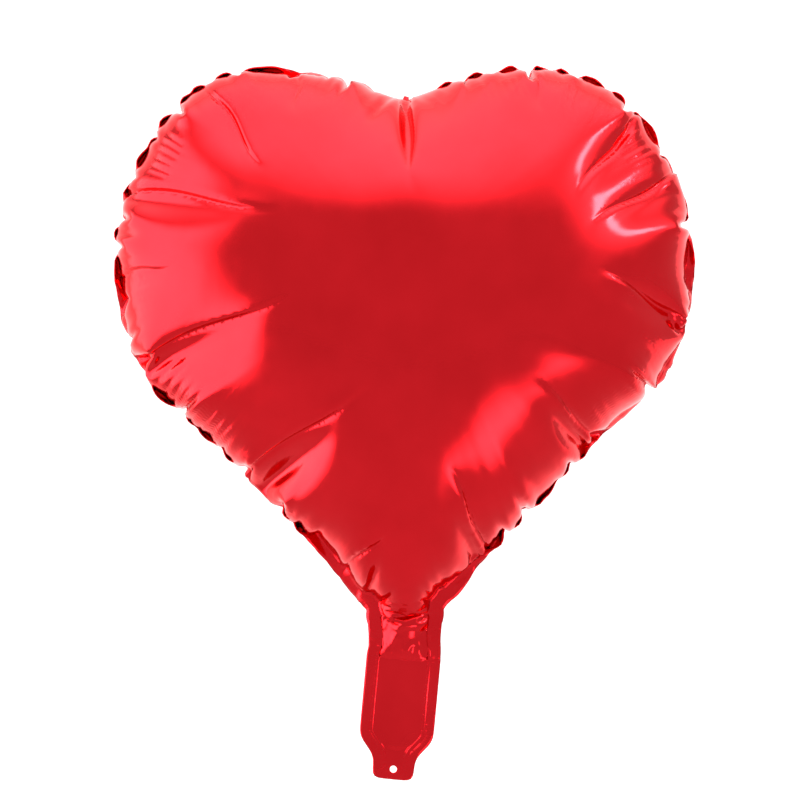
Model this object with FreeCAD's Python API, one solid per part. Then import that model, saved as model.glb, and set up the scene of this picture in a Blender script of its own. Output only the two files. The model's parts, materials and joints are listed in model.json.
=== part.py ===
import FreeCAD, Part
import math
import os

# Heart-shaped foil balloon, inflated, with its flat tail hanging below the neck.
# Millimetres. The origin is the middle of the neck fold, where a ribbon or the cup
# of a stick holds the balloon. +Z is up, the front faces -Y and +X is to the right.

# Heart: its outer rim when the balloon is full
HALF_WIDTH = 175.0           # widest point of the rim, from the centre line
WIDEST_Z = 225.0             # height of the widest point above the fold
LOBE_X = 78.0                # top of a lobe, from the centre line
LOBE_RISE = 122.0            # top of a lobe, above the widest point
CLEFT_RISE = 100.0           # bottom of the cleft, above the widest point
CLEFT_HALF_GAP = 4.0         # half of the short flat that ends the cleft
SHOULDER_TURN = 36.0         # how far the rim turns, above the widest point, to the crown
SIDE_SLOPE = 45.0            # straight lower sides, in degrees from the vertical
FLARE_RADIUS = 36.0          # hollow curve from the neck into the lower sides
RIM_WIDTH = 6.0              # welded rim outside the air space
HALF_DEPTH = 96.0            # seam plane to the fattest point of a panel
DEPTH_REACH = 130.0          # distance from the air space's edge where the depth is full
DEPTH_POWER = 0.8            # how steeply a panel swells away from its edge

# Films, each drawn thicker than the real film
FOIL = 0.6
VALVE_FILM = 0.2
PRINT_FILM = 0.1

# Tail, measured from the fold and along the tail
TAIL_HALF_WIDTH = 22.2
TAIL_LEAN = 5.3              # degrees towards -X
TAIL_SIDE = 54.0             # end of its straight sides
TAB_TOP = TAIL_SIDE + 11.5   # where its sloping shoulders meet the tab
TAB_HALF_WIDTH = 12.4
TAB_END = TAB_TOP + 13.1
SHOULDER_BLEND = 5.0         # rounding at both ends of a shoulder
TAB_CORNER = 4.5             # rounding of the tab's lower corners
TAB_HOLE_RADIUS = 2.1
TAB_HOLE_DROP = TAB_END - 6.1

# Neck and valve
FOLD_CLEARANCE = 0.3         # round the tail's upper edge as it folds
NECK_LAND = 10.0             # fold to the air space
VALVE_HALF_WIDTH = TAIL_HALF_WIDTH - 10.2
VALVE_DROP = TAIL_SIDE - 3.0 # fold to the valve's lower end, along the tail
LIP_CLEARANCE = 0.3          # between the neck's valve films and the lips
LIP_LENGTH = 80.0
LIP_CORNER = 6.0
INLET_RADIUS = 4.0
INLET_DROP = VALVE_DROP - 8.0
PRINT_MARGIN = 1.5           # release print, in from the edges of its film

# Grid that a swollen panel is drawn through
ROWS = 22
COLUMNS = 15
EDGE_SAMPLES = 240

FRONT, BACK = -1, 1
NECK_BOTTOM = FOIL + FOLD_CLEARANCE
LIP_START = NECK_LAND + 2.0 * FOIL
TALL = 2.0 * (WIDEST_Z + LOBE_RISE)


def line(start, end):
    return {"start": start, "end": end, "length": math.dist(start, end)}


def arc(centre, radius, first, last):
    """An arc in the XZ plane; its angles are in degrees, from +X towards +Z."""
    return {"centre": centre, "radius": radius, "first": first, "last": last,
            "length": radius * math.radians(abs(last - first))}


def place(segment, share):
    """The point that lies a share of the way along a line or an arc."""
    if "centre" not in segment:
        return tuple(a + share * (b - a) for a, b in zip(segment["start"], segment["end"]))
    angle = math.radians(segment["first"] + share * (segment["last"] - segment["first"]))
    return (segment["centre"][0] + segment["radius"] * math.cos(angle),
            segment["centre"][1] + segment["radius"] * math.sin(angle))


def half_heart(inset, bottom):
    """The right half of the heart, set in from the rim, from its neck to its cleft."""
    slope = math.radians(SIDE_SLOPE)
    flare = (TAIL_HALF_WIDTH + FLARE_RADIUS, NECK_LAND)
    flare_first = 180.0 - math.degrees(math.asin((bottom - NECK_LAND) / (FLARE_RADIUS + inset)))
    flare_last = 180.0 - SIDE_SLOPE
    # The hip leaves the widest point upright, and ends tangent to the straight side.
    outward = (math.cos(slope), -math.sin(slope))
    side_start = (flare[0] - FLARE_RADIUS * outward[0], flare[1] - FLARE_RADIUS * outward[1])
    reach = ((HALF_WIDTH - side_start[0]) * outward[0] + (WIDEST_Z - side_start[1]) * outward[1])
    hip_radius = reach / (outward[0] - 1.0)
    hip = (HALF_WIDTH - hip_radius, WIDEST_Z)
    # Shoulder and crown share the turn from the widest point to the level top of the lobe.
    wide = HALF_WIDTH - LOBE_X
    cosine = math.cos(math.radians(SHOULDER_TURN))
    sine = math.sin(math.radians(SHOULDER_TURN))
    shoulder_radius = ((wide * (1.0 - sine) - LOBE_RISE * cosine) / (1.0 - sine - cosine))
    crown_radius = ((LOBE_RISE * (1.0 - cosine) - wide * sine) / (1.0 - sine - cosine))
    shoulder = (HALF_WIDTH - shoulder_radius, WIDEST_Z)
    crown = (LOBE_X, WIDEST_Z + LOBE_RISE - crown_radius)
    # The brow falls from the top of the lobe into the cleft.
    fall = LOBE_RISE - CLEFT_RISE
    brow_radius = (LOBE_X ** 2 + fall ** 2) / (2.0 * fall)
    brow = (LOBE_X, WIDEST_Z + LOBE_RISE - brow_radius)
    brow_last = math.degrees(math.acos((CLEFT_HALF_GAP - LOBE_X) / (brow_radius - inset)))
    flare_arc = arc(flare, FLARE_RADIUS + inset, flare_first, flare_last)
    hip_arc = arc(hip, hip_radius - inset, -SIDE_SLOPE, 0.0)
    return [flare_arc,
            line(place(flare_arc, 1.0), place(hip_arc, 0.0)),
            hip_arc,
            arc(shoulder, shoulder_radius - inset, 0.0, SHOULDER_TURN),
            arc(crown, crown_radius - inset, SHOULDER_TURN, 90.0),
            arc(brow, brow_radius - inset, 90.0, brow_last)]


def along(segments, share):
    """The point that lies a share of the way along a chain of segments."""
    left = share * sum(segment["length"] for segment in segments)
    for segment in segments[:-1]:
        if left <= segment["length"]:
            return place(segment, left / segment["length"])
        left -= segment["length"]
    return place(segments[-1], min(1.0, left / segments[-1]["length"]))


def vector(point, y=0.0):
    return FreeCAD.Vector(point[0], y, point[1])


def flipped(point):
    return (-point[0], point[1])


def edge(start, middle, end):
    """A straight edge where the three points are in line, else an arc."""
    points = [vector(start), vector(middle), vector(end)]
    if (points[1] - points[0]).cross(points[2] - points[0]).Length < 1e-6:
        return Part.makeLine(points[0], points[2])
    return Part.Arc(*points).toShape()


def heart_wire(bottom):
    """The closed outline of the heart's rim and of its neck, down to bottom."""
    segments = half_heart(0.0, NECK_LAND)
    neck = place(segments[0], 0.0)
    corner = (neck[0], bottom)
    cleft = place(segments[-1], 1.0)
    edges = [Part.makeLine(vector(flipped(corner)), vector(corner)),
             Part.makeLine(vector(cleft), vector(flipped(cleft)))]
    chain = [line(corner, neck)] + segments
    for segment in chain:
        points = [place(segment, share) for share in (0.0, 0.5, 1.0)]
        edges.append(edge(*points))
        edges.append(edge(*[flipped(point) for point in points]))
    return Part.Wire(Part.__sortEdges__(edges))


def swell(distance):
    """How far a full panel stands off its own rim, by its distance from the edge."""
    share = min(1.0, distance / DEPTH_REACH)
    return (HALF_DEPTH - FOIL) * math.sin(0.5 * math.pi * share) ** DEPTH_POWER


def swollen_face(side, inset, bottom, lift):
    """One side of a panel's film over the air space; its edge lies lift off the seam plane."""
    segments = half_heart(inset, bottom)
    edge_points = [along(segments, k / EDGE_SAMPLES) for k in range(EDGE_SAMPLES + 1)]
    neck_x = edge_points[0][0]
    cleft_z = edge_points[-1][1]
    grid = []
    for row in range(ROWS):
        share = 0.5 - 0.5 * math.cos(math.pi * row / (ROWS - 1))
        rim_x, rim_z = along(segments, share)
        middle_z = bottom + share * (cleft_z - bottom)
        grid_row = []
        for column in range(COLUMNS):
            across = math.sin(0.5 * math.pi * (2.0 * column / (COLUMNS - 1) - 1.0))
            x = across * rim_x
            z = middle_z + across ** 2 * (rim_z - middle_z)
            distance = 0.0
            if 0 < row < ROWS - 1 and 0 < column < COLUMNS - 1:
                distance = min(math.dist((abs(x), z), point) for point in edge_points)
                distance = min(distance, z - bottom + max(0.0, abs(x) - neck_x))
            grid_row.append(FreeCAD.Vector(x, side * (lift + swell(distance)), z))
        grid.append(grid_row)
    surface = Part.BSplineSurface()
    surface.interpolate(grid)
    return surface.toShape()


def ring(outer, swollen):
    """The flat welded rim round the edge of a swollen face."""
    inner = Part.Wire(Part.__sortEdges__(swollen.Edges))
    return Part.makeFace([outer, inner], "Part::FaceMakerBullseye")


def slab(half_width, side, near, far, bottom, top):
    """A box across the centre line, from near to far off the seam plane on one side."""
    y = min(side * near, side * far)
    corner = FreeCAD.Vector(-half_width, y, bottom)
    return Part.makeBox(2.0 * half_width, far - near, top - bottom, corner)


def panel(side):
    """One foil panel of the heart: swollen film, welded rim and half of the neck."""
    thickness = FreeCAD.Vector(0.0, side * FOIL, 0.0)
    outline = heart_wire(NECK_BOTTOM)
    lifted = outline.copy()
    lifted.translate(thickness)
    outside = swollen_face(side, RIM_WIDTH, NECK_LAND, FOIL)
    inside = swollen_face(side, RIM_WIDTH + FOIL, NECK_LAND + FOIL, 0.0)
    faces = [outside, inside, ring(lifted, outside), ring(outline, inside)]
    faces += outline.extrude(thickness).Faces
    shell = Part.Shell(faces)
    shell.sewShape()
    solid = Part.Solid(shell)
    if solid.Volume < 0.0:
        solid.reverse()
    return solid.cut(slab(VALVE_HALF_WIDTH, side, 0.0, VALVE_FILM, NECK_BOTTOM, LIP_START))


def rounded_outline(corners):
    """A closed wire through (x, z, radius) corners, each rounded to its radius."""
    arcs = []
    count = len(corners)
    for index, (x, z, radius) in enumerate(corners):
        corner = vector((x, z))
        before = (vector(corners[index - 1][:2]) - corner).normalize()
        after = (vector(corners[(index + 1) % count][:2]) - corner).normalize()
        if radius == 0.0:
            arcs.append((corner, corner, corner))
            continue
        half_angle = 0.5 * before.getAngle(after)
        run = radius / math.tan(half_angle)
        middle = (before + after).normalize()
        centre = corner + middle * (radius / math.sin(half_angle))
        arcs.append((corner + before * run, centre - middle * radius, corner + after * run))
    edges = []
    for index, (start, middle, end) in enumerate(arcs):
        if (end - start).Length > 0.0:
            edges.append(Part.Arc(start, middle, end).toShape())
        edges.append(Part.makeLine(end, arcs[(index + 1) % count][0]))
    return Part.Wire(edges)


def leaning(shape):
    """Lean a shape drawn straight down from the fold, and end it level at the fold."""
    shape.rotate(FreeCAD.Vector(0, 0, 0), FreeCAD.Vector(0, 1, 0), TAIL_LEAN)
    above = Part.makeBox(TALL, TALL, TALL, FreeCAD.Vector(-0.5 * TALL, -0.5 * TALL, 0.0))
    return shape.cut(above)


def hole(radius, drop):
    """A cutter through the whole tail, at a distance below the fold."""
    start = FreeCAD.Vector(0.0, -TAIL_HALF_WIDTH, -drop)
    return Part.makeCylinder(radius, 2.0 * TAIL_HALF_WIDTH, start, FreeCAD.Vector(0, 1, 0))


def tail_foil(side):
    """One foil of the tail, recessed for the valve film that lies against it."""
    over = TAIL_HALF_WIDTH
    right = [(TAIL_HALF_WIDTH, over, 0.0),
             (TAIL_HALF_WIDTH, -TAIL_SIDE, SHOULDER_BLEND),
             (TAB_HALF_WIDTH, -TAB_TOP, SHOULDER_BLEND),
             (TAB_HALF_WIDTH, -TAB_END, TAB_CORNER)]
    left = [(-x, z, radius) for x, z, radius in reversed(right)]
    foil = Part.Face(rounded_outline(right + left)).extrude(FreeCAD.Vector(0.0, side * FOIL, 0.0))
    foil = foil.cut(slab(VALVE_HALF_WIDTH, side, 0.0, VALVE_FILM, -VALVE_DROP, over))
    foil = foil.cut(hole(TAB_HOLE_RADIUS, TAB_HOLE_DROP))
    if side == BACK:
        foil = foil.cut(hole(INLET_RADIUS, INLET_DROP))
    return leaning(foil)


def tail_valve(side):
    """One valve film where it lies between the foils of the tail."""
    film = slab(VALVE_HALF_WIDTH, side, 0.0, VALVE_FILM, -VALVE_DROP, TAIL_HALF_WIDTH)
    if side == BACK:
        film = film.cut(hole(INLET_RADIUS, INLET_DROP))
    return leaning(film)


def neck_valve(side):
    """One valve film where it is welded into the neck."""
    top = LIP_START - LIP_CLEARANCE
    film = slab(VALVE_HALF_WIDTH, side, 0.0, VALVE_FILM, NECK_BOTTOM, top)
    if side == BACK:
        film = film.cut(release_print())
    return film


def release_print():
    """The heat-proof print that keeps the weld from closing the valve."""
    half_width = VALVE_HALF_WIDTH - PRINT_MARGIN
    top = LIP_START - LIP_CLEARANCE - PRINT_MARGIN
    return slab(half_width, BACK, 0.0, PRINT_FILM, NECK_BOTTOM + PRINT_MARGIN, top)


def valve_lip(side):
    """One free lip of the valve, standing in the air space."""
    top = LIP_START + LIP_LENGTH
    outline = rounded_outline([(-VALVE_HALF_WIDTH, LIP_START, 0.0),
                               (VALVE_HALF_WIDTH, LIP_START, 0.0),
                               (VALVE_HALF_WIDTH, top, LIP_CORNER),
                               (-VALVE_HALF_WIDTH, top, LIP_CORNER)])
    return Part.Face(outline).extrude(FreeCAD.Vector(0.0, side * VALVE_FILM, 0.0))


nodes = {
    "front_panel": panel(FRONT),
    "back_panel": panel(BACK),
    "tail_front_foil": tail_foil(FRONT),
    "tail_back_foil": tail_foil(BACK),
    "tail_valve_front": tail_valve(FRONT),
    "tail_valve_back": tail_valve(BACK),
    "neck_valve_front": neck_valve(FRONT),
    "neck_valve_back": neck_valve(BACK),
    "valve_release_print": release_print(),
    "valve_front_lip": valve_lip(FRONT),
    "valve_back_lip": valve_lip(BACK),
}

os.makedirs("parts", exist_ok=True)
for name, shape in nodes.items():
    print(name, len(shape.Solids), shape.isValid(), round(shape.Volume, 2))
    shape.exportStep(os.path.join("parts", name + ".step"))
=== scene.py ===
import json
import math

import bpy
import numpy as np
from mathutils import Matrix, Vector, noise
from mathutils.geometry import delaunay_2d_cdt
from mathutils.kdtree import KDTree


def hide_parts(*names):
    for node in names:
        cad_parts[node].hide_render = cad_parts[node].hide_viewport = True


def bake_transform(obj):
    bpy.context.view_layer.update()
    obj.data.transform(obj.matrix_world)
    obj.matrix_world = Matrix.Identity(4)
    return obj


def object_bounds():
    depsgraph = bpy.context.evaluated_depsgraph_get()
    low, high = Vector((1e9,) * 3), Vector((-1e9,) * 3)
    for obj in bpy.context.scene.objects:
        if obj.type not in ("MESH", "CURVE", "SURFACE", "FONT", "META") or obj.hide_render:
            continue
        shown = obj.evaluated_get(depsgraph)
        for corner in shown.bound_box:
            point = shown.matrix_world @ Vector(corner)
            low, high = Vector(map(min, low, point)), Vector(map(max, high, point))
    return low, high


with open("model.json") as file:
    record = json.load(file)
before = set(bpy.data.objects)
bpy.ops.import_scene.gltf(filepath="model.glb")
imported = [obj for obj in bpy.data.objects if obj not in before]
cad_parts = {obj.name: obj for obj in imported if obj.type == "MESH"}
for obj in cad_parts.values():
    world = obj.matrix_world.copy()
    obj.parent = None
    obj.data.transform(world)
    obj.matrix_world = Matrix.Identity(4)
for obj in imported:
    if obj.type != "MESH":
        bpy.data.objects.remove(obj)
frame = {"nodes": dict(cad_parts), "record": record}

# Looks for the heart-shaped foil balloon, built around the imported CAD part.
#
# Two flat films are cut, heat-welded along the rim and blown up by a small cloth
# solver. Film hardly stretches but buckles freely, so the scalloped rim and most of its
# creases come out of the flat cut. The deep pinches are drawn in by forces. The sharp
# fold along each pinch, the fine ripples and the neck's crumple are added afterwards.
# Lengths are in millimetres until a mesh is made. +Z is up, the front faces -Y, and
# the neck fold, where the tail hangs from the heart, is at z = 0.

CAD_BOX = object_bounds()
MM = 0.001

# ---- The flat cut: the heart, right half, from the neck up to the cleft ----
FLAT_HALF_WIDTH = 217.0    # the rim draws in by a fifth when the balloon fills
FLAT_LOBE_X = 83.0
FLAT_LOBE_RISE = 160.0     # lobe top above the widest line
FLAT_CLEFT_RISE = 146.0
FLAT_DROP = 232.0          # widest line to the top of the neck
SHOULDER_TURN = 38.0       # degrees
HIP_TURN = 35.0
SIDE_RADIUS = 400.0        # the long, almost straight lower side
FLARE_RADIUS = 15.0
RIM = 8.0                  # width of the weld

# ---- The flat cut: the tail, as in the CAD ----
TAIL_HALF_WIDTH = 22.2
TAIL_SIDE = 54.0           # straight side, below the fold
TAB_TOP = 65.5
TAB_HALF_WIDTH = 12.4
TAB_END = 78.6
TAIL_LEAN = 5.3            # degrees, towards -X
NECK_LAND = 10.0
SECOND_WELD = 5.6          # inset of the outer of the tail's two weld lines
POCKET_END = 61.0
TAB_HOLE = (2.1, 72.5)     # radius, and distance below the fold
FILL_INLET = (4.0, 43.0)

# ---- Film ----
THICKNESS = 0.25
GAP = 0.03                 # half the gap left between the two films where they are welded
VALVE_ROOM = (13.5, 0.35)  # half width and half depth kept clear for the valve films
LIP_FOLD = 11.2            # the valve's lips open above this height,
LIP_ROOM = 0.24            # and need this much depth for each mm above it

# ---- Solver: steps, push of the gas, damping, and how far the film may shorten ----
COARSE_STEP = 9.0          # point spacing of the flat cut
TAIL_STEP = 4.5
SHORTENING = 0.5           # how much of a squeezed edge is undone at each pass
BENDING = 0.05
WELD_BENDING = 0.3
LEVELS = [
    {"steps": 700, "push": 0.012, "damping": 0.99, "pinch_from": 350},
    {"steps": 500, "push": 0.004, "damping": 0.995, "pinch_from": 0},
    {"steps": 500, "push": 0.002, "damping": 0.995, "pinch_from": 0},
]
RIGID_TAIL = -6.0          # the flat tail below this is carried along, not solved
SEED = 1

# The deep pinches of the rim: where each starts on the rim and where it points, in mm
# right of the middle and above the widest line, and how hard it draws the rim in.
PINCHES = [
    ((-113, 103), (-92, 73), 1.0),
    ((-162, 47), (-104, 38), 1.0),
    ((-169, -4), (-144, 1), 0.4),
    ((-148, -49), (-92, -26), 1.2),
    ((-97, -123), (-46, -86), 1.2),
    ((-37, -179), (-19, -161), 0.8),
    ((0, 95), (4, 60), 0.3),
    ((-64, 118), (-63, 100), 0.4),
    ((76, 118), (80, 100), 0.4),
    ((135, 88), (111, 57), 0.9),
    ((158, 57), (124, 35), 0.9),
    ((165, -28), (131, -11), 1.0),
    ((118, -102), (90, -77), 0.8),
    ((51, -168), (34, -133), 1.0),
]
PINCH_FORCE = 0.7          # on the rim, in times the push of the gas
PINCH_REACH = 9.0
PINCH_LENGTH = 1.15
VALLEY_FORCE = 6.0         # on both films, along the line of each pinch
VALLEY_WIDTH = 4.0

# Patches of fine parallel ripples: the middle, in mm right of the middle of the flat cut
# and above its widest line, half the size along the rim and inwards, and the strength.
RIPPLES = [
    ((-141, -95), 36, 21, 1.0),
    ((-155, 62), 24, 15, 0.6),
    ((-170, -20), 20, 14, 0.35),
    ((70, 112), 36, 18, 0.4),
    ((150, 70), 24, 16, 0.7),
    ((-75, -170), 26, 16, 0.45),
    ((135, -85), 30, 17, 0.5),
]
RIPPLE_LENGTH = 6.8
RIPPLE_HEIGHT = 0.5
RIPPLE_SHOWN = 0.32        # weaker ripples aren't given a finer mesh

# The sharp fold along each pinch. Its length is in times the line given above.
FOLD_LENGTH = 1.6
FOLD_SWAY = 2.0
FOLD_WIDTH = 1.4
FOLD_DEPTH = 2.1

# The gathered neck: its crumple, in mm above the fold, and the extra width that keeps
# it wider than the valve inside it.
CRUMPLE_MIDDLE = 6.0
CRUMPLE_HALF_HEIGHT = 18.0
CRUMPLE_HEIGHT = 2.0
CRUMPLE_GRAIN = np.array([8.0, 11.0, 14.0])
CRUMPLE_FLOOR = 0.6        # noise below this leaves the film smooth
NECK_WIDENING = 0.2
NECK_WIDEST = (21.0, 12.0)  # height of the widening, and its reach up and down

# ---- The tail, as shaped after the solver ----
POCKET_DEPTH = 0.85        # half the depth of its pocket
EDGE_WAVE = 0.9            # height of the wave in its flat edges
WELD_RIDGE = 0.45

# ---- Fit to the CAD's outline ----
NOTCH_FILL = 0.45          # how far the notches of the rim are filled out
OUTLINE_GAIN = 1.014       # the pleats take this much off the outline
LOBE_GAIN = 1.02

# ---- Studio: metres, and radiance for the light ----
FOIL_RED = (0.78, 0.0112, 0.0185)
FLOOR_DROP = 1.2
WALL_BEHIND = 3.2
WALL_BEND = 0.9
WALL_GLOW = 0.6
STAGE_HALF_WIDTH = 4.5
DIM_ROOM = 0.68            # the open studio around the balloon
CAMERA_DISTANCE = 1.8
FRAME_WIDTH = 0.4784       # across the picture, at the balloon
AIM_OFFSET = (-0.0027, 0.0145)

# The studio's cards: name, azimuth and elevation in degrees, distance, size, radiance,
# share of the card that fades towards its edges, and colour.
CARDS = [
    ("overhead_card", 0, 80, 1.5, (4.6, 4.0), 3.9, 0.95, (1, 1, 1)),
    ("left_card", -88, 2, 1.5, (2.4, 2.5), 4.6, 0.55, (1, 1, 1)),
    ("right_card", 74, 25, 1.6, (0.42, 0.42), 24.0, 0.75, (1.0, 0.97, 0.92)),
    ("right_glow", 74, 25, 1.7, (1.9, 1.5), 2.8, 0.95, (1, 1, 1)),
    ("low_right_card", 43, -38, 1.6, (1.0, 0.9), 4.0, 0.9, (1, 1, 1)),
]


# ------------------------------------------------------------------ outlines
def arc(centre, radius, first, last, step=1.0):
    """Points along an arc, angles in degrees."""
    count = max(2, round(math.radians(abs(last - first)) * radius / step))
    turn = np.radians(np.linspace(first, last, count + 1))
    return np.c_[centre[0] + radius * np.cos(turn), centre[1] + radius * np.sin(turn)]


def flat_heart(inset):
    """Right half of the flat heart, from the top of the neck to the cleft."""
    widest = FLAT_DROP + NECK_LAND
    flare = np.array([TAIL_HALF_WIDTH + FLARE_RADIUS, NECK_LAND])
    hip_turn = -math.radians(HIP_TURN)
    leaving = np.array([math.cos(hip_turn), math.sin(hip_turn)])

    def side_centre(hip_radius):
        hip = np.array([FLAT_HALF_WIDTH - hip_radius, widest])
        return hip + (hip_radius - SIDE_RADIUS) * leaving

    def miss(hip_radius):
        return np.linalg.norm(side_centre(hip_radius) - flare) - SIDE_RADIUS - FLARE_RADIUS

    low, high = 20.0, SIDE_RADIUS
    sign = miss(low) > 0
    for _ in range(60):
        middle = 0.5 * (low + high)
        if (miss(middle) > 0) == sign:
            low = middle
        else:
            high = middle
    hip_radius = 0.5 * (low + high)
    side = side_centre(hip_radius)
    meet = flare - side
    side_start = math.degrees(math.atan2(meet[1], meet[0]))

    wide = FLAT_HALF_WIDTH - FLAT_LOBE_X
    cosine = math.cos(math.radians(SHOULDER_TURN))
    sine = math.sin(math.radians(SHOULDER_TURN))
    share = 1 - sine - cosine
    shoulder = (wide * (1 - sine) - FLAT_LOBE_RISE * cosine) / share
    crown = (FLAT_LOBE_RISE * (1 - cosine) - wide * sine) / share
    fall = FLAT_LOBE_RISE - FLAT_CLEFT_RISE
    brow = (FLAT_LOBE_X ** 2 + fall ** 2) / (2 * fall)
    cleft = math.degrees(math.acos(-FLAT_LOBE_X / (brow - inset)))
    lobe_top = widest + FLAT_LOBE_RISE
    runs = [
        arc(flare, FLARE_RADIUS + inset, 180.0, 180.0 + side_start),
        arc(side, SIDE_RADIUS - inset, side_start, -HIP_TURN),
        arc((FLAT_HALF_WIDTH - hip_radius, widest), hip_radius - inset, -HIP_TURN, 0.0),
        arc((FLAT_HALF_WIDTH - shoulder, widest), shoulder - inset, 0.0, SHOULDER_TURN),
        arc((FLAT_LOBE_X, lobe_top - crown), crown - inset, SHOULDER_TURN, 90.0),
        arc((FLAT_LOBE_X, lobe_top - brow), brow - inset, 90.0, cleft),
    ]
    return np.concatenate([runs[0]] + [run[1:] for run in runs[1:]])


def spaced(points, step):
    """The same line with its points evenly spaced."""
    along = np.r_[0, np.cumsum(np.hypot(*np.diff(points, axis=0).T))]
    at = np.linspace(0, along[-1], max(1, round(along[-1] / step)) + 1)
    return np.c_[np.interp(at, along, points[:, 0]), np.interp(at, along, points[:, 1])]


def rounded(points, passes):
    """A line with its corners worn round."""
    line = spaced(points, 0.5)
    for _ in range(passes):
        line[1:-1] = 0.25 * line[:-2] + 0.5 * line[1:-1] + 0.25 * line[2:]
    return line


def tail_outline():
    """Right half of the tail's edge, from the tab's end up to the neck."""
    corners = [(0, -TAB_END), (TAB_HALF_WIDTH, -TAB_END), (TAB_HALF_WIDTH, -TAB_TOP),
               (TAIL_HALF_WIDTH, -TAIL_SIDE), (TAIL_HALF_WIDTH, NECK_LAND)]
    return rounded(np.array(corners, float), 85)


def weld_line(inset):
    """Right half of a weld line of the tail: a U that follows the edge."""
    end = POCKET_END + RIM - inset
    side = TAIL_HALF_WIDTH - inset
    corners = [(0, -end), (5.0, -end), (side, -TAIL_SIDE + 2), (side, NECK_LAND)]
    return rounded(np.array(corners, float), 60)


def mirrored(half):
    """The closed loop, or open U, of a right half that starts at the bottom middle."""
    return np.r_[half, (half * [-1, 1])[-1:0:-1]]


def circle(radius, drop, count):
    turn = np.linspace(0, 2 * math.pi, count, endpoint=False)
    return np.c_[radius * np.cos(turn), -drop + radius * np.sin(turn)]


def inside(points, loop):
    """Which points lie inside a closed loop."""
    x, z = points.T
    found = np.zeros(len(points), bool)
    for (x1, z1), (x2, z2) in zip(loop, np.roll(loop, 1, axis=0)):
        if z1 != z2:
            found ^= ((z1 > z) != (z2 > z)) & (x < (x2 - x1) * (z - z1) / (z2 - z1) + x1)
    return found


# ------------------------------------------------------------------ flat mesh
def lattice(low, high, step):
    """Points of a triangular lattice between two heights."""
    rows = np.arange(low, high, step * math.sqrt(0.75))
    reach = 300.0
    return np.array([(x + (index % 2) * step / 2, z) for index, z in enumerate(rows)
                     for x in np.arange(-reach, reach, step)])


def flat_cut():
    """Points and triangles of the flat cut, which triangles are welded, and its lines."""
    edge = np.r_[spaced(tail_outline(), TAIL_STEP / 2)[:-1], spaced(flat_heart(0.0), COARSE_STEP)]
    seam = np.r_[spaced(weld_line(RIM), TAIL_STEP / 2)[:-1], spaced(flat_heart(RIM), COARSE_STEP)]
    edge, seam = mirrored(edge)[:-1], mirrored(seam)[:-1]
    second = spaced(weld_line(SECOND_WELD), TAIL_STEP / 2)
    second = np.r_[(second * [-1, 1])[:0:-1], second]
    holes = [circle(*TAB_HOLE, 14), circle(*FILL_INLET, 16)]
    lines = [edge, seam, *holes, second]

    fine_top = NECK_LAND + 28.0
    points = np.r_[lattice(fine_top, FLAT_DROP + FLAT_LOBE_RISE + 60.0, COARSE_STEP),
                   lattice(-TAB_END, fine_top, TAIL_STEP)]
    points = points[inside(points, edge)]
    spacing = np.where(points[:, 1] >= fine_top, COARSE_STEP, TAIL_STEP)
    all_lines = np.concatenate(lines)
    clear = np.full(len(points), np.inf)
    for x, z in all_lines:
        clear = np.minimum(clear, np.hypot(points[:, 0] - x, points[:, 1] - z))
    keep = clear > 0.62 * spacing
    keep &= inside(points, seam) | (points[:, 1] < NECK_LAND)
    keep &= ~inside(points, holes[0])
    points = np.r_[all_lines, points[keep]]

    pairs, start = [], 0
    for line in lines:
        count = len(line)
        last = count if line is not second else count - 1
        pairs += [(start + k, start + (k + 1) % count) for k in range(last)]
        start += count
    out = delaunay_2d_cdt([Vector(p) for p in points], pairs, [], 1, 1e-6)
    points = np.array([v[:] for v in out[0]])
    faces = np.array([tuple(face) for face in out[2]])
    middles = points[faces].mean(axis=1)
    kept = inside(middles, edge) & ~inside(middles, holes[0])
    faces, middles = faces[kept], middles[kept]
    across = points[faces[:, 1]] - points[faces[:, 0]]
    along = points[faces[:, 2]] - points[faces[:, 0]]
    turned = across[:, 0] * along[:, 1] < across[:, 1] * along[:, 0]
    faces[turned] = faces[turned][:, ::-1]
    return points, faces, ~inside(middles, seam), edge


def closed_sheet():
    """Both films as one sheet: one layer where welded, and a front and a back inside.

    Gives the places, the flat places, the triangles and each triangle's layer:
    0 welded, 1 front, 2 back.
    """
    flat, faces, welded, edge = flat_cut()
    on_weld = np.zeros(len(flat), bool)
    on_weld[faces[welded]] = True
    free = ~on_weld
    behind = np.arange(len(flat))
    behind[free] = len(flat) + np.arange(free.sum())
    rest = np.r_[flat, flat[free]]
    films = faces[~welded]
    triangles = np.r_[faces[welded], films, behind[films][:, ::-1]]
    layer = np.repeat([0, 1, 2], [welded.sum(), len(films), len(films)])
    places = np.c_[rest[:, 0], np.zeros(len(rest)), rest[:, 1]]
    places[:len(flat)][free, 1] = -1.0
    places[len(flat):, 1] = 1.0
    return places, rest, triangles, layer, edge


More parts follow.
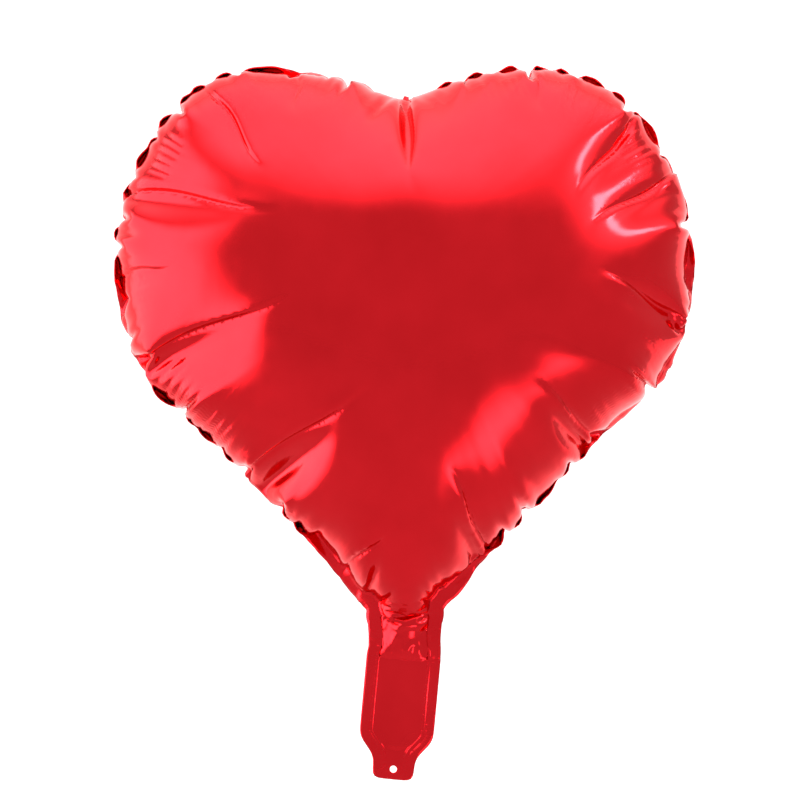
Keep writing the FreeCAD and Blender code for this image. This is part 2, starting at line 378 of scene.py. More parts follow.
def split(places, rest, triangles, layer, wanted):
    """Split in four each triangle whose corners are all wanted, and mend its neighbours."""
    total = len(places)
    ends = np.sort(triangles[:, [[0, 1], [1, 2], [2, 0]]], axis=2)
    cut = wanted[ends].all(axis=2)
    names, index = np.unique(ends[cut][:, 0] * total + ends[cut][:, 1], return_inverse=True)
    middle = np.full(cut.shape, -1)
    middle[cut] = total + index.ravel()
    first, second = names // total, names % total
    places = np.r_[places, (places[first] + places[second]) / 2]
    rest = np.r_[rest, (rest[first] + rest[second]) / 2]
    every = cut.all(axis=1)
    none = ~cut.any(axis=1)
    a, b, c = triangles[every].T
    ab, bc, ca = middle[every].T
    made = [triangles[none], np.c_[a, ab, ca], np.c_[ab, b, bc], np.c_[ca, bc, c],
            np.c_[ab, bc, ca]]
    layers = [layer[none]] + 4 * [layer[every]]
    for k in range(3):
        one = cut[:, k] & ~every
        a, b, c = np.roll(triangles[one], -k, axis=1).T
        at = middle[one, k]
        made += [np.c_[a, at, c], np.c_[at, b, c]]
        layers += 2 * [layer[one]]
    return places, rest, np.concatenate(made), np.concatenate(layers)


# ------------------------------------------------------------------ solver
def separate_groups(pairs, total):
    """Sort pairs into groups in which no point comes twice."""
    draw = np.random.default_rng(7)
    left = np.arange(len(pairs))
    groups = []
    while len(left):
        order = draw.permutation(len(left))
        one, other = pairs[left].T
        chosen = np.zeros(len(left), bool)
        free = np.ones(len(left), bool)
        for _ in range(4):
            best = np.full(total, len(left) + 1)
            np.minimum.at(best, one[free], order[free])
            np.minimum.at(best, other[free], order[free])
            wins = free & (best[one] == order) & (best[other] == order)
            chosen |= wins
            used = np.zeros(total, bool)
            used[one[wins]] = True
            used[other[wins]] = True
            free &= ~(used[one] | used[other])
            if not free.any():
                break
        groups.append(left[chosen])
        left = left[~chosen]
    return groups


class Film:
    """Film under gas pressure: edges resist stretching, and give way when squeezed."""

    def __init__(self, places, rest, triangles, layer):
        self.x, self.rest, self.triangles, self.layer = places.copy(), rest, triangles, layer
        self.count = len(places)
        self.speed = np.zeros_like(places)
        self.held = rest[:, 1] < RIGID_TAIL
        self.pull = 0.0
        flat = rest[triangles]
        across, along = flat[:, 1] - flat[:, 0], flat[:, 2] - flat[:, 0]
        area = 0.5 * np.abs(across[:, 0] * along[:, 1] - across[:, 1] * along[:, 0])
        area[layer == 0] *= 2
        mass = np.bincount(triangles.ravel(), np.repeat(area / 3, 3), self.count)
        self.ease = np.where(self.held, 0.0, 1.0 / (mass + 1e-9))
        self.blown = triangles[layer > 0]
        self.flat_tail = np.c_[rest[:, 0], np.zeros(self.count), rest[:, 1]][self.held]
        self.neck = np.flatnonzero(~self.held & (rest[:, 1] < RIGID_TAIL + 14.0))
        self.drop = float(np.mean(self.x[self.neck, 2] - rest[self.neck, 1]))
        edges = np.sort(np.r_[triangles[:, :2], triangles[:, 1:], triangles[:, ::2]], axis=1)
        self.links = self.bonds(np.unique(edges, axis=0), SHORTENING)
        self.links = self.across_edges() + self.links

    def bonds(self, pairs, give):
        """Groups of (one end, other end, length, give) ready to be solved."""
        length = np.linalg.norm(self.rest[pairs[:, 0]] - self.rest[pairs[:, 1]], axis=1)
        keep = (length > 1e-6) & ~self.held[pairs].all(axis=1)
        pairs, length = pairs[keep], length[keep]
        give = np.broadcast_to(give, keep.shape)[keep]
        return [(pairs[g, 0], pairs[g, 1], length[g], give[g])
                for g in separate_groups(pairs, self.count)]

    def across_edges(self):
        """Bonds across each edge, between the two corners that face it: they resist bending."""
        t = self.triangles
        edges = np.sort(np.r_[t[:, [0, 1]], t[:, [1, 2]], t[:, [2, 0]]], axis=1)
        facing = np.r_[t[:, 2], t[:, 0], t[:, 1]]
        layer = np.tile(self.layer, 3)
        code = edges[:, 0] * self.count + edges[:, 1]
        order = np.argsort(code, kind="stable")
        code, facing, layer = code[order], facing[order], layer[order]
        same = np.flatnonzero((code[1:] == code[:-1]) & (layer[1:] == layer[:-1]))
        give = np.where(layer[same] == 0, WELD_BENDING, BENDING)
        return self.bonds(np.c_[facing[same], facing[same + 1]], give)

    def pressure(self):
        corners = self.x[self.blown]
        push = np.cross(corners[:, 1] - corners[:, 0], corners[:, 2] - corners[:, 0]) / 6
        at = self.blown.ravel()
        force = [np.bincount(at, np.repeat(push[:, k], 3), self.count) for k in range(3)]
        return np.array(force).T * self.ease[:, None]

    def step(self, push, damping, fastest=4.0):
        before = self.x
        self.speed = self.speed * damping + push * (self.pressure() + self.pull)
        rate = np.linalg.norm(self.speed, axis=1)
        self.speed *= np.minimum(1.0, fastest / np.maximum(rate, 1e-9))[:, None]
        self.speed[self.held] = 0.0
        x, ease = before + self.speed, self.ease
        for one, other, length, give in self.links:
            gap = x[other] - x[one]
            now = np.sqrt((gap * gap).sum(axis=1)) + 1e-12
            miss = now - length
            miss = np.where(miss < 0, miss * give, miss)
            if give[0] < SHORTENING:
                # A bond across an edge only resists being squeezed.
                miss = np.minimum(miss, 0.0)
            gap *= (miss / (ease[one] + ease[other] + 1e-12) / now)[:, None]
            x[one] += ease[one][:, None] * gap
            x[other] -= ease[other][:, None] * gap
        risen = float(np.mean(x[self.neck, 2] - self.rest[self.neck, 1]))
        self.drop += 0.2 * (risen - self.drop)
        x[self.held] = self.flat_tail + [0, 0, self.drop]
        self.speed, self.x = x - before, x

    def pinch(self):
        """Start drawing the rim in at each deep pinch."""
        widest = self.x[np.argmax(np.abs(self.x[:, 0])), 2]
        rim = np.unique(self.triangles[self.layer == 0])
        rim = rim[self.rest[rim, 1] > 20.0]
        films = np.flatnonzero((self.rest[:, 1] > 20.0) & (np.abs(self.x[:, 1]) > 2.0))
        self.pull = np.zeros_like(self.x)
        for start, point, strength in PINCHES:
            start, line = np.array(start, float), PINCH_LENGTH * np.subtract(point, start)
            away = self.x[rim][:, [0, 2]] - [0, widest] - start
            nearest = rim[np.argmin(np.hypot(*away.T))]
            near = np.hypot(*(self.rest[rim] - self.rest[nearest]).T) / PINCH_REACH
            inward = np.array([line[0], 0.0, line[1]]) / np.hypot(*line)
            self.pull[rim] += (strength * PINCH_FORCE * np.exp(-near ** 2))[:, None] * inward

            offset = self.x[films][:, [0, 2]] - [0, widest] - start
            along = np.clip(offset @ line / (line @ line), 0.0, 1.0)
            beside = np.hypot(*(offset - along[:, None] * line).T) / VALLEY_WIDTH
            press = strength * VALLEY_FORCE * np.exp(-beside ** 2) * 4 * along * (1 - along)
            self.pull[films, 1] -= np.sign(self.x[films, 1]) * press


def inflate():
    """Blow the sheet up on a coarse mesh, then again on finer ones."""
    places, rest, triangles, layer, edge = closed_sheet()
    draw = np.random.default_rng(SEED)
    places = places + draw.normal(0, 0.05, places.shape)
    levels = LEVELS
    for number, level in enumerate(levels):
        if number:
            every = np.ones(len(places), bool)
            places, rest, triangles, layer = split(places, rest, triangles, layer, every)
            places = places + draw.normal(0, 0.02, places.shape)
        film = Film(places, rest, triangles, layer)
        for step in range(level["steps"]):
            if step == level["pinch_from"]:
                film.pinch()
            settling = step >= 0.6 * level["steps"]
            film.step(level["push"], 0.97 if settling else level["damping"])
        places = film.x
    return places, rest, triangles, layer, edge


# ------------------------------------------------------------------ fitting to the frame
def smoothstep(values, start, end):
    share = np.clip((values - start) / (end - start), 0.0, 1.0)
    return share * share * (3 - 2 * share)


def soften(ring, width):
    """Blur a closed ring of one value a degree."""
    turns = np.arange(-3 * width, 3 * width + 1)
    weights = np.exp(-0.5 * (turns / width) ** 2)
    rolled = [np.roll(ring, turn) * weight for turn, weight in zip(turns, weights)]
    return np.sum(rolled, axis=0) / weights.sum()


def reach(points, centre):
    """How far points stand out from a centre, one value a degree."""
    offset = points - centre
    turn = np.degrees(np.arctan2(offset[:, 1], offset[:, 0])).astype(int) % 360
    out = np.zeros(360)
    np.maximum.at(out, turn, np.hypot(*offset.T))
    have = np.flatnonzero(out)
    return np.interp(np.arange(360), have, out[have], period=360)


def cad_panel():
    """The points of the CAD's front panel, in mm."""
    return np.array([v.co for v in frame["nodes"]["front_panel"].data.vertices]) / MM


def widest_height():
    panel = cad_panel()
    return panel[np.argmax(panel[:, 0]), 2]


def fit_to_frame(places, rest):
    """Move the fold to z = 0 and bring the blown heart to the CAD's outline and depth."""
    panel = cad_panel()
    cad_widest = widest_height()
    x = places.copy()
    x[:, 2] -= x[np.abs(rest[:, 1]) < 3.0, 2].mean()
    heart = rest[:, 1] > NECK_LAND
    bulge = x[heart][np.abs(x[heart, 0]) > 0.97 * np.abs(x[heart, 0]).max()]
    widest = bulge[:, 2].mean()
    up = np.maximum(x[:, 2], 0.0)
    x[:, 2] += np.minimum(up / widest, 1.0) * (cad_widest - widest)
    x[:, 1] *= -panel[:, 1].min() / np.abs(x[:, 1]).max()

    centre = np.array([0.0, cad_widest])
    own = reach(x[heart][:, [0, 2]], centre)
    goal = reach(panel[:, [0, 2]], centre)
    broad = soften(goal, 4) / soften(own, 4)
    notches = (soften(own, 9) / own) ** NOTCH_FILL
    offset = x[:, [0, 2]] - centre
    turn = np.degrees(np.arctan2(offset[:, 1], offset[:, 0])) % 360
    ring = np.arange(360)
    share = np.hypot(*offset.T) / np.interp(turn, ring, own, period=360)
    scale = 1 + (np.interp(turn, ring, broad, period=360) - 1) * np.clip(share, 0, 1) ** 1.5
    scale *= np.interp(turn, ring, notches, period=360) ** (np.clip(share, 0, 1) ** 6)
    scale = 1 + (OUTLINE_GAIN * scale - 1) * smoothstep(x[:, 2], 10.0, 50.0)
    x[:, [0, 2]] = centre + offset * scale[:, None]
    x[:, 2] += (LOBE_GAIN - 1) * np.maximum(x[:, 2] - cad_widest, 0.0)
    return x


def rim_finder(edge):
    """A function that gives how far along the cut edge and how far in from it points are."""
    line = spaced(np.r_[edge, edge[:1]], 1.0)
    tree = KDTree(len(line))
    for index, (x, z) in enumerate(line):
        tree.insert((x, z, 0.0), index)
    tree.balance()

    def find(points):
        found = [tree.find((x, z, 0.0)) for x, z in points]
        return np.array([(index, distance) for _, index, distance in found], float)

    return find


def ripple_share(rim, find):
    """How strongly each point is rippled, from 0 to 1."""
    share = np.zeros(len(rim))
    around = rim[:, 0].max() + 1.0
    for (right, up), half_along, half_in, strength in RIPPLES:
        along, inward = find([(right, FLAT_DROP + NECK_LAND + up)])[0]
        beside = np.abs(rim[:, 0] - along)
        beside = np.minimum(beside, around - beside) / half_along
        patch = np.exp(-beside ** 4) * np.exp(-np.abs((rim[:, 1] - inward) / half_in) ** 3)
        share = np.maximum(share, strength * patch)
    return share * smoothstep(rim[:, 1], RIM, RIM + 6.0)


def ripple_height(rim, share):
    """Fine parallel ridges that run in from the rim, in mm."""
    wander = 0.5 * np.sin(rim[:, 0] / 13.0) + 0.3 * np.sin(rim[:, 0] / 5.7 + rim[:, 1] / 14.0)
    wave = np.sin(2 * math.pi * rim[:, 0] / RIPPLE_LENGTH + wander)
    uneven = 0.75 + 0.25 * np.sin(rim[:, 0] / 4.1) * np.sin(rim[:, 1] / 9.0)
    return RIPPLE_HEIGHT * share * uneven * (wave + 0.25 * np.sin(2 * wave + 1.0))


def fold_lines(x):
    """How far beside the nearest pinch's fold each point is, and how strong the fold is."""
    place = x[:, [0, 2]] - [0, widest_height()]
    beside = np.full(len(x), 99.0)
    strength = np.zeros(len(x))
    for start, point, force in PINCHES:
        start, line = np.array(start, float), FOLD_LENGTH * np.subtract(point, start)
        length = np.hypot(*line)
        across = np.array([-line[1], line[0]]) / length
        along = (place - start) @ line / length ** 2
        side = (place - start) @ across - FOLD_SWAY * np.sin(2 * math.pi * along)
        fade = smoothstep(along, -0.25, 0.05) * (1 - smoothstep(along, 0.55, 1.0))
        nearer = (np.abs(side) < np.abs(beside)) & (fade > 0)
        beside[nearer] = side[nearer]
        strength[nearer] = (min(1.0, force) * fade)[nearer]
    return beside, strength


def fold_height(x):
    """The sharp fold along each pinch: a groove with one lip standing higher, in mm."""
    beside, strength = fold_lines(x)
    groove = -np.exp(-(beside / FOLD_WIDTH) ** 2)
    lip = 0.6 * np.tanh(beside / FOLD_WIDTH) * np.exp(-(beside / (5 * FOLD_WIDTH)) ** 2)
    return FOLD_DEPTH * strength * (groove + lip)


def detailed(x, rest, rim, find):
    """Which points lie where the mesh has to be finer than the solver's."""
    beside, strength = fold_lines(x)
    weld_lines = (np.abs(rim[:, 1] - (SECOND_WELD + RIM) / 2) < 2.3) & (rest[:, 1] < NECK_LAND)
    folds = (np.abs(beside) < 2.1 * FOLD_WIDTH) & (strength > 0.1)
    found = weld_lines | folds | (ripple_share(rim, find) > RIPPLE_SHOWN)
    for radius, drop in (TAB_HOLE, FILL_INLET):
        found |= np.hypot(rest[:, 0], rest[:, 1] + drop) < radius + 2.0
    return found


def crumple(x, rest):
    """How far the bunched creases of the gathered neck stand out, in mm."""
    window = np.exp(-((rest[:, 1] - CRUMPLE_MIDDLE) / CRUMPLE_HALF_HEIGHT * 1.5) ** 4)
    push = np.zeros(len(x))
    for index in np.flatnonzero(window > 0.01):
        place = Vector(x[index] / CRUMPLE_GRAIN)
        push[index] = noise.ridged_multi_fractal(place, 0.9, 2.1, 2, 1.0, 2.0)
    return CRUMPLE_HEIGHT * window * np.clip(push - CRUMPLE_FLOOR, 0.0, 1.6)


def shape_tail(x, rest, layer_of_point, rim):
    """Give the flat tail its pocket, its round holes and a slight wave, and lean it."""
    x = x.copy()
    for (radius, drop), films in ((TAB_HOLE, (0,)), (FILL_INLET, (2,))):
        spoke = rest + [0, drop]
        length = np.hypot(*spoke.T)
        on_edge = (np.abs(length - radius) < 0.1 * radius) & np.isin(layer_of_point, films)
        x[on_edge, 0::2] += spoke[on_edge] * (radius / length[on_edge] - 1)[:, None]
    middle, spread = NECK_WIDEST
    x[:, 0] *= 1 + NECK_WIDENING * np.exp(-((x[:, 2] - middle) / spread) ** 2)
    tail = smoothstep(-rest[:, 1], -4.0, 8.0)
    side = np.select([layer_of_point == 1, layer_of_point == 2], [-1.0, 1.0], 0.0)
    bulge = smoothstep(rim[:, 1], RIM, RIM + 7.0)
    ripple = np.sin(rest[:, 0] / 7.0 + 0.9 * np.sin(rest[:, 1] / 13.0) + side)
    depth = 0.12 + bulge * (POCKET_DEPTH + 0.12 * ripple)
    wave = EDGE_WAVE * np.sin(rest[:, 1] / 9.0 + 0.08 * rest[:, 0])
    wave *= 1 - smoothstep(rim[:, 1], 0.0, RIM)
    x[:, 1] += tail * (side * depth + wave * (side == 0))

    near_valve = (np.abs(x[:, 0]) < VALVE_ROOM[0]) & (x[:, 2] < 95.0) & (side != 0)
    room = VALVE_ROOM[1] + LIP_ROOM * np.maximum(x[:, 2] - LIP_FOLD, 0.0)
    room = np.where(near_valve, room * smoothstep(rim[:, 1], RIM, RIM + 1.5), 0.0)
    x[:, 1] = np.where(side < 0, np.minimum(x[:, 1], -room), x[:, 1])
    x[:, 1] = np.where(side > 0, np.maximum(x[:, 1], room), x[:, 1])

    lean = math.radians(TAIL_LEAN) * smoothstep(-x[:, 2], -4.0, 4.0)
    turned = x.copy()
    turned[:, 0] = x[:, 0] * np.cos(lean) + x[:, 2] * np.sin(lean)
    turned[:, 2] = x[:, 2] * np.cos(lean) - x[:, 0] * np.sin(lean)
    return turned


# ------------------------------------------------------------------ meshes
def point_normals(x, triangles):
    corners = x[triangles]
    face = np.cross(corners[:, 1] - corners[:, 0], corners[:, 2] - corners[:, 0])
    at = triangles.ravel()
    total = [np.bincount(at, np.repeat(face[:, k], 3), len(x)) for k in range(3)]
    normals = np.array(total).T
    return normals / np.maximum(np.linalg.norm(normals, axis=1), 1e-12)[:, None]


def film_piece(name, side, x, rest, triangles, layer, rim, material):
    """One film as a closed mesh: an outer and an inner skin, joined along every edge."""
    front = side == 1
    own = triangles[(layer == 0) | (layer == side)].copy()
    welded = (layer == 0)[(layer == 0) | (layer == side)]
    if not front:
        own[welded] = own[welded][:, ::-1]
        middle = rest[own].mean(axis=1)
        radius, drop = FILL_INLET
        in_hole = np.hypot(middle[:, 0], middle[:, 1] + drop) < radius
        own = own[~in_hole]
    used, own = np.unique(own, return_inverse=True)
    own = own.reshape(-1, 3)
    x, rest, rim = x[used], rest[used], rim[used]
    normals = point_normals(x, own)
    ridge = np.exp(-((rim[:, 1] - SECOND_WELD) / 0.5) ** 2)
    ridge += np.exp(-((rim[:, 1] - RIM) / 0.5) ** 2)
    ridge *= smoothstep(-rest[:, 1], -2.0, 4.0) * smoothstep(rest[:, 1], -TAB_TOP, -POCKET_END)
    inner = x + normals * GAP
    outer = x + normals * (GAP + THICKNESS + WELD_RIDGE * ridge)[:, None]

    edges = np.r_[own[:, [0, 1]], own[:, [1, 2]], own[:, [2, 0]]]
    code = edges.min(axis=1) * len(x) + edges.max(axis=1)
    _, first, count = np.unique(code, return_index=True, return_counts=True)
    border = edges[first[count == 1]]
    a, b = border.T
    below = len(x)
    walls = np.r_[np.c_[b, a, a + below], np.c_[b, a + below, b + below]]
    faces = np.r_[own, own[:, ::-1] + below, walls]

    mesh = bpy.data.meshes.new(name)
    mesh.from_pydata((np.r_[outer, inner] * MM).tolist(), [], faces.tolist())
    mesh.shade_smooth()
    corner = faces.ravel()
    for map_name, values in (("flat_cut", rest), ("rim", rim)):
        layer_map = mesh.uv_layers.new(name=map_name)
        both = np.r_[values, values] * MM
        layer_map.data.foreach_set("uv", both[corner].astype(np.float32).ravel())
    mesh.materials.append(material)
    piece = bpy.data.objects.new(name, mesh)
    bpy.context.scene.collection.objects.link(piece)
    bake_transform(piece)
    return piece


# ------------------------------------------------------------------ materials
class Shader:
    """A material's nodes, made and linked in short calls."""

    def __init__(self, name):
        self.material = bpy.data.materials.new(name)
        self.material.use_nodes = True
        self.tree = self.material.node_tree
        self.surface = self.tree.nodes["Principled BSDF"]

    def node(self, kind, settings=None, **inputs):
        made = self.tree.nodes.new(kind)
        for key, value in (settings or {}).items():
            setattr(made, key, value)
        for key, value in inputs.items():
            self.set(made.inputs[key.replace("_", " ")], value)
        return made

    def set(self, socket, value):
        if isinstance(value, bpy.types.NodeSocket):
            self.tree.links.new(value, socket)
        else:
            socket.default_value = value

    def ramp(self, value, *stops):
        """A colour ramp with stops of (position, grey or colour)."""
        made = self.node("ShaderNodeValToRGB", Fac=value)
        elements = made.color_ramp.elements
        while len(elements) < len(stops):
            elements.new(0.5)
        for element, (position, colour) in zip(elements, stops):
            element.position = position
            element.color = colour if len(colour) == 4 else (*colour, 1)
        return made.outputs["Color"]

    def math(self, operation, one, other):
        made = self.node("ShaderNodeMath", {"operation": operation})
        self.set(made.inputs[0], one)
        self.set(made.inputs[1], other)
        return made.outputs[0]


def grey(value):
    return (value, value, value, 1)


def foil_material(colour):
    """Mirror-metallised film under red lacquer, duller and finely crimped on the weld."""
    shader = Shader("red_foil")
    flat = shader.node("ShaderNodeUVMap", {"uv_map": "flat_cut"}).outputs["UV"]
    rim = shader.node("ShaderNodeUVMap", {"uv_map": "rim"}).outputs["UV"]
    inward = shader.node("ShaderNodeSeparateXYZ", Vector=rim).outputs["Y"]
    on_weld = shader.ramp(shader.math("MULTIPLY", inward, 1000.0 / 20.0),
                          (RIM / 20.0 - 0.02, (1, 1, 1)), (RIM / 20.0 + 0.02, (0, 0, 0)))

    cloud = shader.node("ShaderNodeTexNoise", Vector=flat, Scale=22.0, Detail=3.0)
    red = shader.ramp(cloud.outputs["Fac"],
                      (0.3, (colour[0] * 0.93, colour[1] * 0.85, colour[2] * 0.85)),
                      (0.7, (colour[0] * 1.05, colour[1] * 1.1, colour[2] * 1.1)))
    shader.set(shader.surface.inputs["Base Color"], red)

    handling = shader.node("ShaderNodeTexNoise", Vector=flat, Scale=90.0, Detail=5.0)
    sheen = shader.ramp(handling.outputs["Fac"], (0.35, grey(0.11)), (0.75, grey(0.17)))
    duller = shader.math("MULTIPLY", on_weld, 0.08)
    shader.set(shader.surface.inputs["Roughness"], shader.math("ADD", sheen, duller))

    # Fine pleats run in from the rim, strongest a few centimetres in from it.
    stretched = shader.node("ShaderNodeMapping", Vector=rim, Scale=(165.0, 9.0, 1.0))
    pleats = shader.node("ShaderNodeTexNoise", Vector=stretched.outputs[0], Scale=1.0, Detail=1.0)
    where = shader.ramp(shader.math("MULTIPLY", inward, 10.0),
                        (0.08, grey(0.2)), (0.25, grey(1.0)), (0.5, grey(0.9)), (0.85, grey(0.0)))
    patch_place = shader.node("ShaderNodeMapping", Vector=rim, Scale=(14.0, 8.0, 1.0))
    patch = shader.node("ShaderNodeTexNoise", Vector=patch_place.outputs[0], Scale=1.0, Detail=0.0)
    patchy = shader.ramp(patch.outputs["Fac"], (0.42, grey(0.0)), (0.6, grey(1.0)))
    sideways = shader.node("ShaderNodeSeparateXYZ", Vector=flat).outputs["X"]
    off_middle = shader.ramp(shader.math("ABSOLUTE", sideways, 0.0),
                             (0.012, grey(0.0)), (0.04, grey(1.0)))
    where = shader.math("MULTIPLY", where, off_middle)
    height = shader.math("MULTIPLY", pleats.outputs["Fac"], shader.math("MULTIPLY", where, patchy))
    crimp_place = shader.node("ShaderNodeMapping", Vector=rim, Scale=(420.0, 60.0, 1.0))
    crimp = shader.node("ShaderNodeTexNoise", Vector=crimp_place.outputs[0], Scale=1.0, Detail=2.0)
    crimped = shader.math("MULTIPLY", shader.math("MULTIPLY", crimp.outputs["Fac"], on_weld), 0.4)
    bump = shader.node("ShaderNodeBump", Strength=0.35, Distance=0.0012,
                       Height=shader.math("ADD", height, crimped))
    shader.set(shader.surface.inputs["Normal"], bump.outputs[0])
    shader.surface.inputs["Metallic"].default_value = 1.0
    shader.surface.inputs["Specular Tint"].default_value = (1.0, 0.68, 0.68, 1)
    shader.surface.inputs["Coat Weight"].default_value = 0.12
    shader.surface.inputs["Coat Roughness"].default_value = 0.1
    return shader.material


def film_material(colour):
    """Clear valve film, faintly hazy, with the fine draw lines of blown plastic."""
    shader = Shader("clear_valve_film")
    place = shader.node("ShaderNodeTexCoord").outputs["Object"]
    drawn = shader.node("ShaderNodeMapping", Vector=place, Scale=(700.0, 700.0, 30.0))
    lines = shader.node("ShaderNodeTexNoise", Vector=drawn.outputs[0], Scale=1.0, Detail=2.0)
    duller = tuple(0.92 * c for c in colour)
    tint = shader.ramp(lines.outputs["Fac"], (0.3, duller), (0.7, tuple(colour)))
    shader.set(shader.surface.inputs["Base Color"], tint)
    haze = shader.ramp(lines.outputs["Fac"], (0.3, grey(0.08)), (0.7, grey(0.22)))
    shader.set(shader.surface.inputs["Roughness"], haze)
    bump = shader.node("ShaderNodeBump", Strength=0.2, Distance=0.0002, Height=lines.outputs["Fac"])
    shader.set(shader.surface.inputs["Normal"], bump.outputs[0])
    shader.surface.inputs["Transmission Weight"].default_value = 0.6
    shader.surface.inputs["IOR"].default_value = 1.5
    return shader.material


def print_material(colour):
    """Matt printed release coating: a fine screen of dots with a chalky grain."""
    shader = Shader("release_print")
    place = shader.node("ShaderNodeTexCoord").outputs["Object"]
    dots = shader.node("ShaderNodeTexVoronoi", Vector=place, Scale=1400.0, Randomness=0.15)
    dark = tuple(0.8 * c for c in colour)
    light = tuple(min(1.0, 1.15 * c) for c in colour)
    ink = shader.ramp(dots.outputs["Distance"], (0.35, dark), (0.6, light))
    shader.set(shader.surface.inputs["Base Color"], ink)
    grain = shader.node("ShaderNodeTexNoise", Vector=place, Scale=2500.0, Detail=2.0)
    chalk = shader.ramp(grain.outputs["Fac"], (0.3, grey(0.65)), (0.7, grey(0.85)))
    shader.set(shader.surface.inputs["Roughness"], chalk)
    bump = shader.node("ShaderNodeBump", Strength=0.3, Distance=0.0001, Height=grain.outputs["Fac"])
    shader.set(shader.surface.inputs["Normal"], bump.outputs[0])
    return shader.material


def slot_colours():
    """The record's colour of each material slot."""
    return {row["slot"]: row["base_color"] for row in frame["record"]["materials"]}


def dress_valve(colours):
    """Give every valve node that stays shown its own finish."""
    clear = film_material(colours["valve_film"])
    printed = print_material(colours["release_print"])
    for name, node in frame["nodes"].items():
        if "valve" in name:
            node.data.materials.clear()
            node.data.materials.append(printed if "print" in name else clear)


# ------------------------------------------------------------------ balloon
def build_balloon():
    colours = slot_colours()
    foil = foil_material(FOIL_RED)
    places, rest, triangles, layer, edge = inflate()
    find = rim_finder(edge)
    wanted = detailed(fit_to_frame(places, rest), rest, find(rest), find)
    places, rest, triangles, layer = split(places, rest, triangles, layer, wanted)
    layer_of_point = np.zeros(len(places), int)
    for side in (1, 2, 0):
        layer_of_point[triangles[layer == side]] = side
    rim = find(rest)
    x = fit_to_frame(places, rest)
    outward = point_normals(x, triangles)
    outward[layer_of_point == 0] *= 0.5
    relief = ripple_height(rim, ripple_share(rim, find)) + crumple(x, rest) + fold_height(x)
    x = shape_tail(x + outward * relief[:, None], rest, layer_of_point, rim)
    for name, side in (("front_foil", 1), ("back_foil", 2)):
        piece = film_piece(name, side, x, rest, triangles, layer, rim, foil)
        half = name.split("_")[0]
        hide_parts(f"{half}_panel", f"tail_{half}_foil")
    dress_valve(colours)


# ------------------------------------------------------------------ studio
def stage_sweep():
    """A pale floor that curves up into a whiter wall behind the balloon."""
    floor = CAD_BOX[0].z - FLOOR_DROP
    profile = [(-STAGE_HALF_WIDTH, floor), (WALL_BEHIND - WALL_BEND, floor)]
    for turn in range(-80, 0, 10):
        across = math.cos(math.radians(turn)) * WALL_BEND
        up = math.sin(math.radians(turn)) * WALL_BEND
        profile.append((WALL_BEHIND - WALL_BEND + across, floor + WALL_BEND + up))
    profile += [(WALL_BEHIND, floor + WALL_BEND), (WALL_BEHIND, floor + 6.0)]
    left = [(-STAGE_HALF_WIDTH, y, z) for y, z in profile]
    right = [(STAGE_HALF_WIDTH, y, z) for y, z in profile]
    count = len(profile)
    faces = [(k, k + 1, count + k + 1, count + k) for k in range(count - 1)]
    mesh = bpy.data.meshes.new("studio_sweep")
    mesh.from_pydata(left + right, [], faces)
    mesh.shade_smooth()
    shader = Shader("pale_paper")
    place = shader.node("ShaderNodeTexCoord").outputs["Object"]
    grain = shader.node("ShaderNodeTexNoise", Vector=place, Scale=60.0, Detail=3.0)
    paper = shader.ramp(grain.outputs["Fac"], (0.3, grey(0.88)), (0.7, grey(0.92)))
    shader.set(shader.surface.inputs["Base Color"], paper)
    shader.surface.inputs["Roughness"].default_value = 0.9
    behind = shader.node("ShaderNodeSeparateXYZ", Vector=place).outputs["Y"]
    lit = shader.node("ShaderNodeMapRange", {"interpolation_type": "SMOOTHSTEP"}, Value=behind,
                      From_Min=0.6, From_Max=2.2, To_Min=0.0, To_Max=WALL_GLOW)
    shader.surface.inputs["Emission Color"].default_value = grey(1.0)
    shader.set(shader.surface.inputs["Emission Strength"], lit.outputs[0])
    mesh.materials.append(shader.material)
    sweep = bpy.data.objects.new("studio_sweep", mesh)
    bpy.context.scene.collection.objects.link(sweep)


def heading(azimuth, elevation):
    """The direction from the balloon: azimuth 0 is the camera's side, 90 the right."""
    turn, rise = math.radians(azimuth), math.radians(elevation)
    level = math.cos(rise)
    return Vector((math.sin(turn) * level, -math.cos(turn) * level, math.sin(rise)))


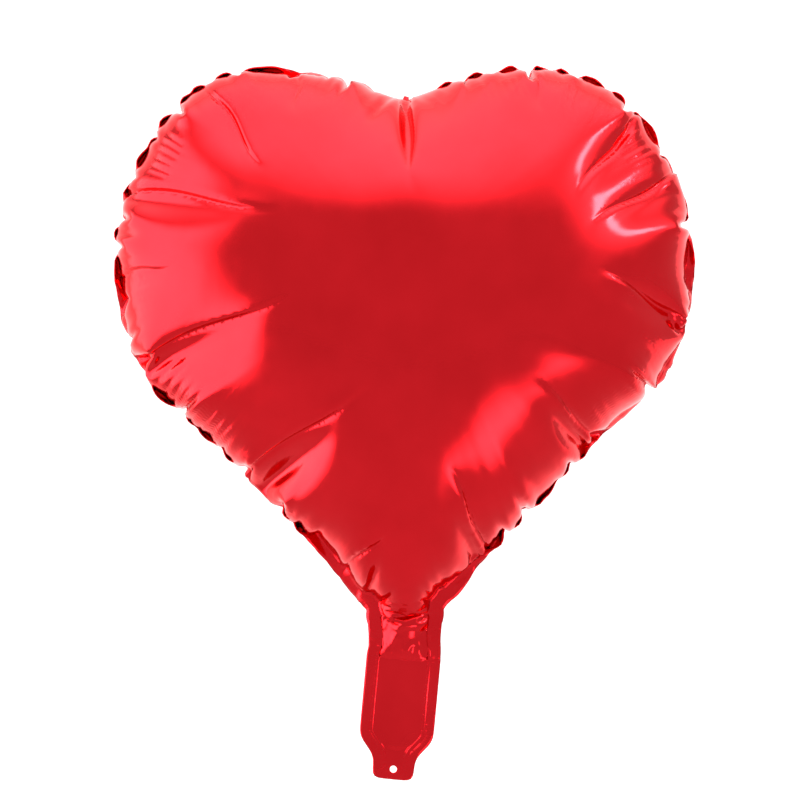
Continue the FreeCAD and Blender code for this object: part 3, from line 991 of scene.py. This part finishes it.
def soft_card(name, azimuth, elevation, distance, size, radiance, edge, colour):
    """A glowing studio card that faces the balloon and fades out towards its edges."""
    width, height = size
    mesh = bpy.data.meshes.new(name)
    corners = [(-1, -1), (1, -1), (1, 1), (-1, 1)]
    mesh.from_pydata([(x * width / 2, y * height / 2, 0) for x, y in corners], [], [(0, 1, 2, 3)])
    shader = Shader(name)
    shader.tree.nodes.remove(shader.surface)
    place = shader.node("ShaderNodeTexCoord").outputs["Object"]
    split_place = shader.node("ShaderNodeSeparateXYZ", Vector=place)
    fades = []
    for axis, length in (("X", width), ("Y", height)):
        out = shader.math("ABSOLUTE", split_place.outputs[axis], 0.0)
        fades.append(shader.node("ShaderNodeMapRange", {"interpolation_type": "SMOOTHERSTEP"},
                                 Value=out, From_Min=length / 2 * (1 - edge), From_Max=length / 2,
                                 To_Min=1.0, To_Max=0.0).outputs[0])
    clear = shader.node("ShaderNodeBsdfTransparent")
    glow = shader.node("ShaderNodeEmission", Color=(*colour, 1), Strength=radiance)
    mixed = shader.node("ShaderNodeMixShader", Fac=shader.math("MULTIPLY", *fades))
    shader.tree.links.new(clear.outputs[0], mixed.inputs[1])
    shader.tree.links.new(glow.outputs[0], mixed.inputs[2])
    output = shader.tree.nodes["Material Output"]
    shader.tree.links.new(mixed.outputs[0], output.inputs["Surface"])
    mesh.materials.append(shader.material)
    card = bpy.data.objects.new(name, mesh)
    middle = (CAD_BOX[0] + CAD_BOX[1]) / 2
    towards = heading(azimuth, elevation)
    card.location = middle + towards * distance
    card.rotation_euler = towards.to_track_quat("Z", "Y").to_euler()
    card.visible_camera = False
    card.visible_diffuse = False
    bpy.context.scene.collection.objects.link(card)


def light_studio():
    world = bpy.data.worlds.new("soft_studio")
    bpy.context.scene.world = world
    world.use_nodes = True
    background = world.node_tree.nodes["Background"]
    background.inputs["Color"].default_value = grey(1.0)
    background.inputs["Strength"].default_value = DIM_ROOM
    for card in CARDS:
        soft_card(*card)
    light = bpy.data.lights.new("fill", "AREA")
    light.size = 2.0
    light.energy = 8.0
    fill = bpy.data.objects.new("fill", light)
    fill.location = (0, -1.5, 2.4)
    fill.rotation_euler = (math.radians(32), 0, 0)
    fill.visible_glossy = False
    bpy.context.scene.collection.objects.link(fill)


def place_camera():
    """Level with the balloon and straight in front, framed as in the photograph."""
    middle = (CAD_BOX[0] + CAD_BOX[1]) / 2
    camera = bpy.data.cameras.new("camera")
    camera.sensor_width = 36.0
    camera.lens = CAMERA_DISTANCE / FRAME_WIDTH * camera.sensor_width
    holder = bpy.data.objects.new("camera", camera)
    holder.location = (middle.x + AIM_OFFSET[0], -CAMERA_DISTANCE, middle.z + AIM_OFFSET[1])
    holder.rotation_euler = (math.radians(90), 0, 0)
    bpy.context.scene.collection.objects.link(holder)
    bpy.context.scene.camera = holder


build_balloon()
stage_sweep()
light_studio()
place_camera()
bpy.context.scene.view_settings.view_transform = "Standard"
